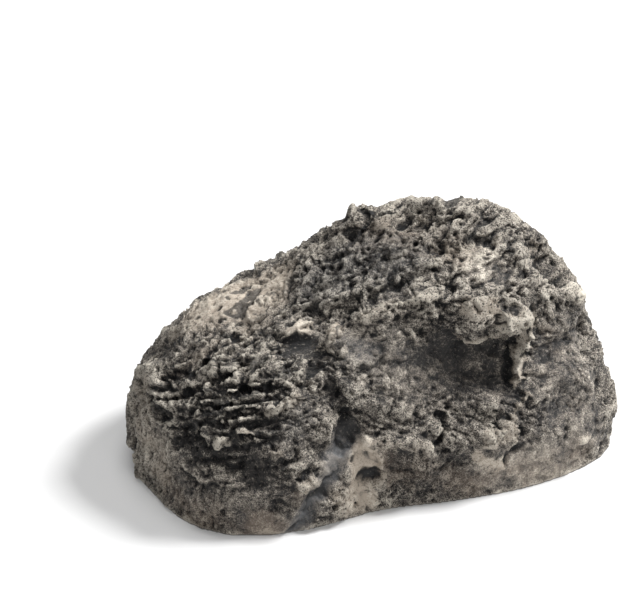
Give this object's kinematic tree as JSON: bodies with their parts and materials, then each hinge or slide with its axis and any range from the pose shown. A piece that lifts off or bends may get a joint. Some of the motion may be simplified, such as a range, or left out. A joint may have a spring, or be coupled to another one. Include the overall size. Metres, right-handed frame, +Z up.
{
  "type": "hide a key rock",
  "caption": "Imitation stone with a hidden key compartment: hollow cast shell, screwed base plate with key tub, and a lid that slides out from underneath.",
  "frame": {"origin": "middle of the stone's footprint, on the plane that its rim stands on", "axes": "+X along the stone's long way, to the right as the shown face is looked at; +Y to the back; +Z up"},
  "size_m": [0.1099, 0.0738, 0.0575],
  "materials": {
    "cast_stone": "rough, hand-washed",
    "insert_brass": "turned",
    "gasket_foam": "closed cell",
    "plate_plastic": "fine texture",
    "screw_steel": "zinc plated",
    "tub_plastic": "smooth",
    "lid_plastic": "fine texture"
  },
  "bodies": {
    "rock": {"rock_shell": "cast_stone", "boss_inserts": "insert_brass", "base_gasket": "gasket_foam", "base_plate": "plate_plastic", "base_screws": "screw_steel", "key_tub": "tub_plastic", "tub_screws": "screw_steel"},
    "lid": {"compartment_lid": "lid_plastic"}
  },
  "joints": [
    {"name": "lid_slide", "type": "slide", "parent": "rock", "child": "lid", "axis": [-1, 0, 0], "range_m": [0, 0.056]}
  ]
}
